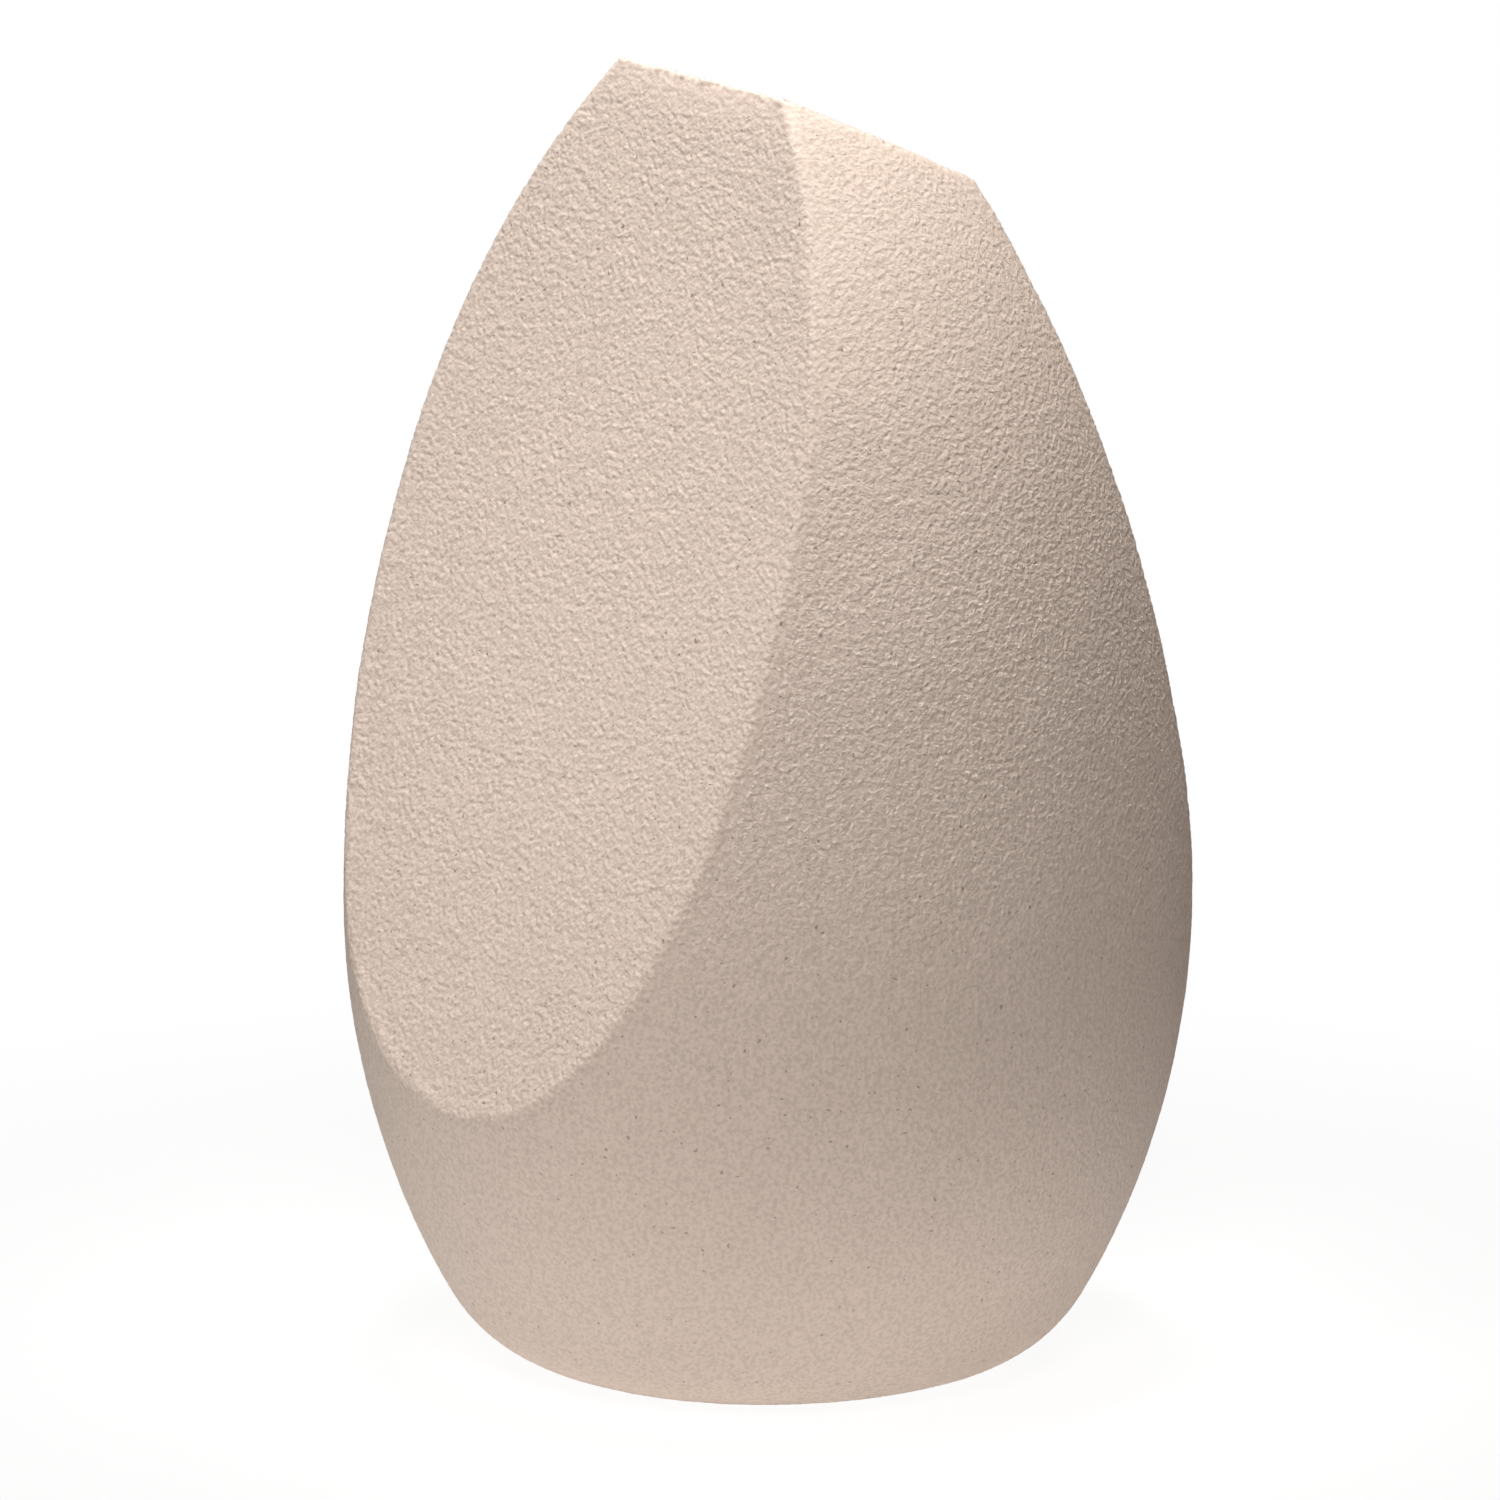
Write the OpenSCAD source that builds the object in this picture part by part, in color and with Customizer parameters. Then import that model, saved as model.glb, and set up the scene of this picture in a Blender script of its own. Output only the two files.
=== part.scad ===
// Makeup sponge: one block of fine foam, ground to an egg that stands on a small flat base,
// then sliced flat on the front, on the back and across the tip.
// Origin at the centre of the base, +Z up, the broad front slice facing -Y.

/* [Egg] */
// Width of the egg at its widest level
body_d = 40; // [38:0.5:44]
// Width of the flat base that the sponge stands on
base_d = 18; // [14:0.5:20]
// Radius of the shoulder that rounds the base into the side
shoulder_r = 7; // [5:0.5:8]
// Radius of the side below the widest level
lower_r = 38; // [34:1:50]
// Radius of the side above the widest level
upper_r = 84; // [75:1:100]
// Degrees that the upper side turns before it draws in to the tip
upper_turn = 15; // [12:0.5:18]
// Radius of the side where it draws in to the tip
neck_r = 45; // [40:1:50]

/* [Slices] */
// Degrees that the front and back slices lean in from upright
slice_lean = 17.7; // [15:0.1:20]
// Distance from the axis to the front slice, at the widest level
front_reach = 16.8; // [15:0.1:18.5]
// Distance from the axis to the back slice, at the widest level
back_reach = 16; // [15:0.1:18.5]
// Height of the tip slice on the axis
tip_h = 60.2; // [54:0.1:62]
// Degrees that the tip slice falls towards the back
tip_fall = 27.3; // [15:0.1:35]

/* [Hidden] */
// Straight steps along each arc of the outline
arc_steps = 8;

// Each arc starts in the direction in which the one before it ends, so the sides stay smooth.
shoulder_c = [base_d / 2, shoulder_r];
lower_x = body_d / 2 - lower_r;
widest_z = shoulder_r
    + sqrt(pow(lower_r - shoulder_r, 2) - pow(shoulder_c.x - lower_x, 2));
lower_c = [lower_x, widest_z];
upper_c = [body_d / 2 - upper_r, widest_z];
neck_c = upper_c + (upper_r - neck_r) * [cos(upper_turn), sin(upper_turn)];

lower_start = atan2(shoulder_c.y - lower_c.y, shoulder_c.x - lower_c.x);
axis_turn = acos(-neck_c.x / neck_r);
egg_h = neck_c.y + neck_r * sin(axis_turn);

// Points of an arc after its first one, between two directions from its centre
function arc(centre, radius, from, to) = [
    for (step = [1 : arc_steps])
        let (turn = from + (to - from) * step / arc_steps)
        centre + radius * [cos(turn), sin(turn)]
];

// Half of the egg's outline, from the base up to the pointed tip on the axis
outline = concat(
    [[0, 0], [shoulder_c.x, 0]],
    arc(shoulder_c, shoulder_r, -90, lower_start),
    arc(lower_c, lower_r, lower_start, 0),
    arc(upper_c, upper_r, 0, upper_turn),
    arc(neck_c, neck_r, upper_turn, axis_turn)
);

module egg() {
    rotate_extrude($fn = 96) polygon(outline);
}

// The foam taken off in front of a slice, which leans in by slice_lean
module side_waste(reach) {
    translate([0, -reach, widest_z])
        rotate([-slice_lean, 0, 0])
            translate([-egg_h, -egg_h, -egg_h]) cube([2 * egg_h, egg_h, 2 * egg_h]);
}

// The foam taken off above the tip slice, which falls towards the back
module tip_waste() {
    translate([0, 0, tip_h])
        rotate([-tip_fall, 0, 0])
            translate([-egg_h, -egg_h, 0]) cube([2 * egg_h, 2 * egg_h, egg_h]);
}

module foam_body() {
    color([0.84, 0.77, 0.71])
    difference() {
        egg();
        side_waste(front_reach);
        mirror([0, 1, 0]) side_waste(back_reach);
        tip_waste();
    }
}

foam_body();
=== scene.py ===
"""Makeup sponge of fine foam, on a pale floor under soft studio light."""

from math import acos, atan2, cos, pi, radians, sin, sqrt

import bpy
import numpy as np
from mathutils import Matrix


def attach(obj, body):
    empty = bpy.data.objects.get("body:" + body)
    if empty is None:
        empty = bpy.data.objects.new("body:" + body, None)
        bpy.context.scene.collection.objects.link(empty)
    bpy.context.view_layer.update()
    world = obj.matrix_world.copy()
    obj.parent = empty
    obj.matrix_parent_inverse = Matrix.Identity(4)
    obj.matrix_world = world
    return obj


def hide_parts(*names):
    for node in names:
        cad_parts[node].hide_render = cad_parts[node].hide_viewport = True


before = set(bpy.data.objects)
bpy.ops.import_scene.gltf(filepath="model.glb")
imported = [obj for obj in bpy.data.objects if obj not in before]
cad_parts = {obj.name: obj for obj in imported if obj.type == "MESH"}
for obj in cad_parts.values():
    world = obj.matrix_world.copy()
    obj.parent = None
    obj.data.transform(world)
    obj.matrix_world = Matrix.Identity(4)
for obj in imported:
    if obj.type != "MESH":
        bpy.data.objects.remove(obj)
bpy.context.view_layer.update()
mm = 0.001

# Foam block. One piece of fine open-cell foam, about 0.4 mm from cell to cell. It is ground to
# an egg with a small flat base. A blade then slices it flat on the front, on the back and
# across the tip, and leaves a torn, ragged ridge where the front and the tip slice meet.
base_r, widest_r = 9 * mm, 20 * mm
shoulder_r, lower_r, upper_r, neck_r = 7 * mm, 38 * mm, 84 * mm, 45 * mm
upper_turn, open_turn = radians(15), radians(4)
slice_lean, front_reach, back_reach = radians(17.7), 16.8 * mm, 16 * mm
tip_h, tip_fall = 60.2 * mm, radians(27.3)
round_steps = 192
voxel = 0.12 * mm
edge_width = 0.5 * mm

# The egg's outline: four arcs, each starting in the direction in which the last one ends. It
# stays open round the axis at the top, above the tip slice.
lower_x = widest_r - lower_r
widest_z = shoulder_r + sqrt((lower_r - shoulder_r) ** 2 - (base_r - lower_x) ** 2)
lower_turn = atan2(shoulder_r - widest_z, base_r - lower_x)
upper_x = widest_r - upper_r
neck_x = upper_x + (upper_r - neck_r) * cos(upper_turn)
neck_z = widest_z + (upper_r - neck_r) * sin(upper_turn)
top_turn = acos(-neck_x / neck_r) - open_turn

# Each arc: its steps, its centre's radius and height, its own radius, and where it starts and ends
arcs = [
    (14, base_r, shoulder_r, shoulder_r, -pi / 2, lower_turn),
    (16, lower_x, widest_z, lower_r, lower_turn, 0),
    (20, upper_x, widest_z, upper_r, 0, upper_turn),
    (16, neck_x, neck_z, neck_r, upper_turn, top_turn),
]
rings = [(base_r, 0)]
for steps, x, z, radius, first, last in arcs:
    for step in range(1, steps + 1):
        turn = first + (last - first) * step / steps
        rings.append((x + radius * cos(turn), z + radius * sin(turn)))

bpy.ops.object.select_all(action="DESELECT")
bpy.ops.mesh.primitive_circle_add(vertices=round_steps, radius=base_r, fill_type="NGON")
foam = bpy.context.object
foam.name = foam.data.name = "sponge_foam"
bpy.ops.object.mode_set(mode="EDIT")
for (radius, height), (next_radius, next_height) in zip(rings, rings[1:], strict=False):
    bpy.ops.mesh.extrude_region_move(
        TRANSFORM_OT_translate={"value": (0, 0, next_height - height)}
    )
    grow = next_radius / radius
    bpy.ops.transform.resize(value=(grow, grow, 1), center_override=(0, 0, next_height))
bpy.ops.mesh.select_all(action="SELECT")
bpy.ops.mesh.normals_make_consistent(inside=False)

# Each slice: a point of its plane and the way that its face looks
slices = {
    "front": ((0, -front_reach, widest_z), (0, -cos(slice_lean), sin(slice_lean))),
    "back": ((0, back_reach, widest_z), (0, cos(slice_lean), sin(slice_lean))),
    "tip": ((0, 0, tip_h), (0, sin(tip_fall), cos(tip_fall))),
}
for place, facing in slices.values():
    bpy.ops.mesh.select_all(action="SELECT")
    bpy.ops.mesh.bisect(
        plane_co=place, plane_no=facing, use_fill=True, clear_outer=True
    )
bpy.ops.object.mode_set(mode="OBJECT")


def finish_with(kind, **settings):
    """Adds one modifier to the foam and applies it."""
    step = foam.modifiers.new(kind.lower(), kind)
    for name, value in settings.items():
        setattr(step, name, value)
    bpy.ops.object.modifier_apply(modifier=step.name)


# A fine even mesh for the grain
finish_with("REMESH", mode="VOXEL", voxel_size=voxel, use_smooth_shade=True)
finish_with("SMOOTH", factor=0.5, iterations=3)


def read_points():
    """The foam's points, as a table of x, y and z."""
    found = np.empty(len(foam.data.vertices) * 3, np.float32)
    foam.data.vertices.foreach_get("co", found)
    return found.reshape(-1, 3).astype(float)


def write_points(table):
    """Puts each of the foam's points at its row of a table."""
    foam.data.vertices.foreach_set("co", table.astype(np.float32).ravel())
    foam.data.update()


def slope(value, low, high):
    """0 below low, 1 above high and straight between, for each point."""
    return ((value - low) / (high - low)).clip(0, 1)


# Depth of each point under the three slices, and under the side and the base. The second
# smallest depth of a point is its distance from the nearest edge.
points = read_points()
across, height = np.hypot(points[:, 0], points[:, 1]), points[:, 2]
faces = {name: (np.array(at), np.array(facing)) for name, (at, facing) in slices.items()}
depths = [(at - points) @ facing for at, facing in faces.values()]
arc_tops = [z + radius * sin(last) for _, _, z, radius, _, last in arcs[:-1]]
which = np.searchsorted(arc_tops, height)
centre_r, centre_z, arc_r, arc_start = np.array([arc[1:5] for arc in arcs])[which].T
from_centre = np.hypot(across - centre_r, height - centre_z)
on_base = (across < base_r) & (height < shoulder_r)
side_depth = np.where(on_base, height, arc_r - from_centre)
front_depth, _, tip_depth = depths
edge_depth = np.sort([*depths, side_depth], axis=0)[1]
ridge_depth = np.maximum(front_depth, tip_depth)

# The points are brought back to the true planes and arcs, but for those close to an edge. The
# ridge stays sharp, so its points come back as well, away from its ends.
true_share = slope(edge_depth, 0.2 * mm, edge_width)
true_share[(edge_depth == ridge_depth) & (side_depth > edge_width)] = 1
outward = np.zeros_like(points)
outward[:, :2] = points[:, :2] * ((across - centre_r) / (across * from_centre))[:, None]
outward[:, 2] = (height - centre_z) / from_centre
outward[on_base] = (0, 0, -1)
nearest = np.argmin([*depths, side_depth], axis=0)
for number, (_, facing) in enumerate(faces.values()):
    outward[nearest == number] = facing
shift = true_share * np.min([*depths, side_depth], axis=0)
write_points(points + shift[:, None] * outward)

# The surface is laid out flat as six sheets, each in millimetres round a place of its own on one
# square: the three slices, two halves of the side, and the underside out to the shoulder. Each
# sheet: how far right and how far up every point lies on it, and its place. The layout is named
# OFBake.
square = 112
lengths = np.cumsum([base_r] + [radius * (last - first) for _, _, _, radius, first, last in arcs])
along = lengths[which] + arc_r * (np.arctan2(height - centre_z, across - centre_r) - arc_start)
along[on_base] = across[on_base]
x, y = points[:, 0], points[:, 1]
lean_up, lean_down = (0, sin(slice_lean), cos(slice_lean)), (0, -sin(slice_lean), cos(slice_lean))
fall_up = (0, cos(tip_fall), -sin(tip_fall))
off_axis = across.clip(1e-9)
sheets = [
    (x, (points - faces["front"][0]) @ lean_up, 16, 69.4),
    (-x, (points - faces["back"][0]) @ lean_down, 47.5, 71),
    (x, (points - faces["tip"][0]) @ fall_up, 81, 104),
    (across * np.arctan2(y, x), along - lengths[1], 31.5, 1),
    (-across * np.arctan2(-y, -x), lengths[1] - along, 73, 59.5),
    (along * x / off_axis, -along * y / off_axis, 81, 78.5),
]
right_half, left_half, underside = 3, 4, 5
sheet_of = nearest.copy()
sheet_of[(nearest == right_half) & (x < 0)] = left_half
sheet_of[(nearest == right_half) & (height < arc_tops[0])] = underside
corners = np.empty(len(foam.data.loops), np.int32)
foam.data.loops.foreach_get("vertex_index", corners)
face_starts = np.empty(len(foam.data.polygons), np.int32)
foam.data.polygons.foreach_get("loop_start", face_starts)
face_sizes = np.diff(face_starts, append=len(corners))
sheet_of_corner = np.repeat(sheet_of[corners[face_starts]], face_sizes)
flat = np.zeros((len(corners), 2))
for number, (right, up, place_right, place_up) in enumerate(sheets):
    here = sheet_of_corner == number
    flat[here, 0] = right[corners[here]] / (square * mm) + place_right / square
    flat[here, 1] = up[corners[here]] / (square * mm) + place_up / square
foam.data.uv_layers.new(name="OFBake").data.foreach_set("uv", flat.astype(np.float32).ravel())


def weigh(name, weights):
    """Keeps a weight from 0 to 1 for each point, as a group for a modifier, in even steps."""
    group = foam.vertex_groups.new(name=name)
    count = 20
    steps = np.rint(weights.clip(0, 1) * count).astype(int)
    for step in range(1, count + 1):
        group.add(np.flatnonzero(steps == step).tolist(), step / count, "REPLACE")
    return name


def close_to(depth):
    """1.2 where the depth is nothing, falling to 0 at 0.6 mm and on below it, for each point."""
    return 1.2 - depth / edge_width


# The edges come out of the cut a little soft, but for the ridge and the lower edge on the right
right_low = (x > 0) & (front_depth < 1 * mm)
soft = close_to(edge_depth)
soft *= np.where(right_low, ((height - 20 * mm) / (14 * mm)).clip(0.15, 1), 1)
soft *= slope(ridge_depth, 0, 0.6 * mm)
finish_with("SMOOTH", factor=0.5, iterations=14, vertex_group=weigh("soft_edge", soft))


def texture(name, kind, **settings):
    """A pattern that pushes the surface in and out."""
    made = bpy.data.textures.new(name, kind)
    for setting, value in settings.items():
        setattr(made, setting, value)
    return made


def push(pattern, depth, middle=0.5, group=""):
    """Moves the surface along its normals by a pattern, depth from its lowest to its highest."""
    finish_with(
        "DISPLACE",
        texture=pattern,
        texture_coords="LOCAL",
        direction="NORMAL",
        strength=depth,
        mid_level=middle,
        vertex_group=group,
    )


# The grain: the sway of the ground side, clumps of cells, the cells, the nap on them, and the
# tufts that the blade has torn along the ridge. The cells stand up most on the slices, and
# least at the rim of the tip.
sway = texture("sway", "CLOUDS", noise_scale=9 * mm, noise_depth=1)
clumps = texture("clumps", "CLOUDS", noise_scale=0.6 * mm, noise_depth=1)
cells = texture(
    "cells", "CLOUDS", noise_scale=0.2 * mm, noise_depth=0, noise_basis="IMPROVED_PERLIN"
)
nap = texture("nap", "CLOUDS", noise_scale=0.12 * mm, noise_depth=0, noise_basis="CELL_NOISE")
tufts = texture("tufts", "CLOUDS", noise_scale=0.3 * mm, noise_depth=1, contrast=1.5)
cut_share = close_to(np.min(depths, axis=0)).clip(0, 1)
# How strongly each point close under the tip slice is painted paler, as painted light coming
# through the thin foam, fading over about a millimetre; the cells stand lower there too
rim_glow_reach = np.exp(-tip_depth / (1.1 * mm)) * slope(tip_depth, 0, 0.06 * mm)
cut_cells = weigh("cut_cells", (0.45 + 0.55 * cut_share) * (1 - 0.6 * rim_glow_reach))
ridge = weigh("ridge", 1 - ridge_depth / (0.35 * mm))
push(sway, 0.12 * mm)
push(clumps, 0.03 * mm)
push(cells, 0.04 * mm, group=cut_cells)
push(nap, 0.06 * mm, group=cut_cells)
push(tufts, 0.24 * mm, middle=0.45, group=ridge)

# What would reach under the floor is pressed flat on it
points = read_points()
points[:, 2] = points[:, 2].clip(0, None)
write_points(points)


def keep(name, values):
    """Keeps a value from 0 to 1 for each point, for the material."""
    layer = foam.data.attributes.new(name, "FLOAT", "POINT")
    layer.data.foreach_set("value", values.clip(0, 1).astype(np.float32))


# Where the blade has cut, with a soft change to the ground side; the rim of the tip, painted paler
# as painted light coming through the thin foam; the height band where torn flecks stand up and are
# given painted highlights where the top light grazes them; and how rough the side is
keep("cut", cut_share)
# Painted light: how much paler the rim of the tip is painted, most near the front slice
keep("rim_glow", rim_glow_reach * close_to(front_depth).clip(0.25, 1))
# Painted highlight: the height band where the top light grazes the side, where flecks stand up and
# are painted paler
keep("fleck_glint_band", np.interp(height, np.array([22, 30, 38, 52]) * mm, [0, 1, 1, 0.2]))
keep("rough", np.interp(height, np.array([20, 30]) * mm, [0.65, 1]))


class Wire:
    """A socket of a material's nodes. Arithmetic on it adds Math nodes."""

    def __init__(self, tree, socket=None):
        self.tree, self.socket = tree, socket

    def node(self, kind, settings=None, sockets=None, out=0):
        """Adds a node of a kind: its settings first, then its sockets' values and links."""
        new = self.tree.nodes.new(kind)
        for name, value in (settings or {}).items():
            setattr(new, name, value)
        for name, value in (sockets or {}).items():
            if isinstance(value, Wire):
                self.tree.links.new(value.socket, new.inputs[name])
            else:
                new.inputs[name].default_value = value
        return Wire(self.tree, new.outputs[out] if new.outputs else None)

    def maths(self, operation, *values):
        return self.node(
            "ShaderNodeMath", {"operation": operation}, dict(enumerate(values))
        )

    def __add__(self, other):
        return self.maths("ADD", self, other)

    def __sub__(self, other):
        return self.maths("SUBTRACT", self, other)

    def __rsub__(self, other):
        return self.maths("SUBTRACT", other, self)

    def __mul__(self, other):
        return self.maths("MULTIPLY", self, other)

    __radd__, __rmul__ = __add__, __mul__


def fresh_tree(owner):
    """The nodes of a material or world, emptied, as the wire that others start from."""
    owner.use_nodes = True
    owner.node_tree.nodes.clear()
    return Wire(owner.node_tree)


def plain_light(red, green, blue):
    """A colour of a paint card, 0 to 255, as the light that it sends back."""
    parts = (part / 255 for part in (red, green, blue))
    return (*(p / 12.92 if p <= 0.04045 else ((p + 0.055) / 1.055) ** 2.4 for p in parts), 1)


foam_mat = bpy.data.materials.new("matte_foam")
foam_mat.cycles.use_bump_map_correction = False
start = fresh_tree(foam_mat)
place = start.node("ShaderNodeTexCoord", out=3)
cut, rim_glow, fleck_glint_band, rough = (
    start.node("ShaderNodeAttribute", {"attribute_name": name}, out=2)
    for name in ("cut", "rim_glow", "fleck_glint_band", "rough")
)


def noise(scale, detail=0.0):
    """A noise of the foam, with so many waves to the metre, from 0 to 1."""
    return start.node(
        "ShaderNodeTexNoise", {}, {"Vector": place, "Scale": scale, "Detail": detail}
    )


def rise(value, low, high):
    """0 below low, 1 above high and smooth between, or the other way round if low is higher."""
    return start.node(
        "ShaderNodeMapRange",
        {"interpolation_type": "SMOOTHSTEP"},
        {"Value": value, "From Min": low, "From Max": high},
    )


def blend(factor, low, high):
    """The colour low where the factor is 0, and high where it is 1."""
    return start.node(
        "ShaderNodeMix", {"data_type": "RGBA"}, {"Factor": factor, "A": low, "B": high}, out=2
    )


# Cut cells on the slices. The ground side has finer grain, with torn flecks that stand up from
# it, and small pores are scattered over both. The pores are painted darker as painted shade, the
# flecks get painted highlights in the band where the top light grazes the side, and the rim of
# the tip is painted paler as painted light coming through the thin foam.
cell_tone, foam_tone = plain_light(201, 186, 173), plain_light(216, 200, 188)
# The dark colour is painted shade for the pores, and the pale ones are a painted highlight for the
# flecks and painted light through the rim of the tip
pore_shade_tone, fleck_highlight_tone, rim_glow_tone = (
    plain_light(150, 128, 112), plain_light(240, 227, 215), plain_light(238, 219, 205)
)
grain_depth = 0.10 * mm
grain = noise(3400, 1)
pores = rise(noise(4200), 0.21, 0.15)
flecks = fleck_glint_band * rise(noise(4400, 1), 0.52, 0.8)
side_relief = 1.15 * rough * noise(3600, 2) + 0.3 * flecks
relief = cut * 1.1 * grain + (1 - cut) * side_relief - 0.3 * pores
relief = (1 - 0.65 * rim_glow) * relief
tone = blend(rise(noise(4800, 1), 0.3, 0.65), cell_tone, foam_tone)
# Painted shade: the pores are painted darker
tone = blend(pores * 0.7, tone, pore_shade_tone)
# Painted highlight: the flecks in that band are painted paler, most on the ground side
tone = blend((0.8 - 0.6 * cut) * flecks, tone, fleck_highlight_tone)
# Painted light: the rim of the tip is painted paler, as light coming through the thin foam
tone = blend(0.85 * rim_glow, tone, rim_glow_tone)
bump = start.node("ShaderNodeBump", {}, {"Distance": grain_depth, "Height": relief})
shader = start.node(
    "ShaderNodeBsdfPrincipled",
    {},
    {"Base Color": tone, "Roughness": 0.96, "Specular IOR Level": 0.25, "Normal": bump},
)
start.node("ShaderNodeOutputMaterial", {}, {"Surface": shader})
foam.data.materials.clear()
foam.data.materials.append(foam_mat)

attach(foam, "root")
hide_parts("foam_body")

# Floor: a wide pale sheet, a hair under the base, so that the two faces don't fight. The camera
# sees it white, with only a little of the sponge's shadow, which fades out away from the sponge.
floor_gap, floor_side = 0.02 * mm, 3
bpy.ops.object.select_all(action="DESELECT")
bpy.ops.mesh.primitive_plane_add(size=floor_side, location=(0, 0, -floor_gap))
floor = bpy.context.object
floor.name = floor.data.name = "floor"
floor_mat = bpy.data.materials.new("pale_floor")
start = fresh_tree(floor_mat)
sheet = start.node("ShaderNodeBsdfDiffuse", {}, {"Color": (0.8, 0.8, 0.8, 1)})
milky = start.node("ShaderNodeBsdfTranslucent", {}, {"Color": (0.15, 0.15, 0.15, 1)})
both = start.node("ShaderNodeAddShader", {}, {0: sheet, 1: milky})
white = start.node("ShaderNodeEmission", {}, {"Color": (1, 1, 1, 1), "Strength": 1})
seen = start.node("ShaderNodeLightPath", out=0)
place = start.node("ShaderNodeTexCoord", out=3)
away = start.node("ShaderNodeVectorMath", {"operation": "LENGTH"}, {0: place}, out=1)
white_share = 0.85 + 0.15 * rise(away, 30 * mm, 75 * mm)
mixed = start.node("ShaderNodeMixShader", {}, {0: white_share * seen, 1: both, 2: white})
start.node("ShaderNodeOutputMaterial", {}, {"Surface": mixed})
floor.data.materials.append(floor_mat)

# Camera: a long lens, half round from the front slice to the side and a little above it. Its
# picture is as wide as twice view_half at the target.
camera_turn, camera_lift, camera_far = radians(50.48), radians(13.8), 1.5
target, view_half, sensor = (-0.525 * mm, -0.636 * mm, 29.27 * mm), 35.346 * mm, 36


def from_target(turn, lift, far):
    """A place at a distance from the camera's target, turned round it from the front."""
    level = far * cos(lift)
    return (
        target[0] + level * sin(turn),
        target[1] - level * cos(turn),
        target[2] + far * sin(lift),
    )


bpy.ops.object.camera_add(
    location=from_target(camera_turn, camera_lift, camera_far),
    rotation=(pi / 2 - camera_lift, 0, camera_turn),
)
camera = bpy.context.object
camera.name = "camera"
camera.data.sensor_width = sensor
camera.data.lens = sensor / 2 * camera_far / view_half
camera.data.clip_end = 10
bpy.context.scene.camera = camera


# Studio light: soft boxes, each turned round the sponge from the camera to its right and
# lifted above the level. The keys hang close, so the light falls off down the sponge.
def softbox(name, turn, lift, far, spread, power, colour=(1, 1, 1)):
    """Hangs a soft box that looks at the target, from turn and lift in degrees."""
    aim = camera_turn + radians(turn)
    bpy.ops.object.light_add(
        type="AREA",
        location=from_target(aim, radians(lift), far),
        rotation=(pi / 2 - radians(lift), 0, aim),
    )
    lamp = bpy.context.object
    lamp.name = name
    lamp.data.size = 0.35 * far
    lamp.data.spread = radians(spread)
    lamp.data.energy = power
    lamp.data.color = colour


# How far off the keys and the fills hang, and how many degrees their light spreads
key_far, key_spread, fill_far, fill_spread = 0.2, 40, 0.45, 24
softbox("key_overhead", 0, 89, key_far, key_spread, 0.0220)
softbox("key_left", -45, 50, key_far, key_spread, 0.0092, (1, 0.96, 0.93))
softbox("key_right", 110, 60, key_far, key_spread, 0.0043, (1, 0.82, 0.68))
softbox("key_behind", 150, 60, key_far, key_spread, 0.0050)
softbox("fill_front", 0, 40, fill_far, fill_spread, 0.0387, (1, 0.95, 0.92))
softbox("fill_left", -90, 15, fill_far, fill_spread, 0.0129)

# A round lamp under the milky floor lights the sponge from below
bpy.ops.object.light_add(type="AREA", location=(0, 0, -15 * mm), rotation=(pi, 0, 0))
lamp = bpy.context.object
lamp.name = "under_sheet"
lamp.data.shape = "DISK"
lamp.data.size = 50 * mm
lamp.data.energy = 0.0297

# World: it gives no light, and the camera sees it white
world = bpy.data.worlds.new("studio")
bpy.context.scene.world = world
start = fresh_tree(world)
seen = start.node("ShaderNodeLightPath", out=0)
around = start.node("ShaderNodeBackground", {}, {"Strength": 0.0})
white = start.node("ShaderNodeBackground", {}, {"Color": (1, 1, 1, 1), "Strength": 1})
mixed = start.node("ShaderNodeMixShader", {}, {0: seen, 1: around, 2: white})
start.node("ShaderNodeOutputWorld", {}, {"Surface": mixed})

bpy.context.scene.view_settings.view_transform = "Standard"
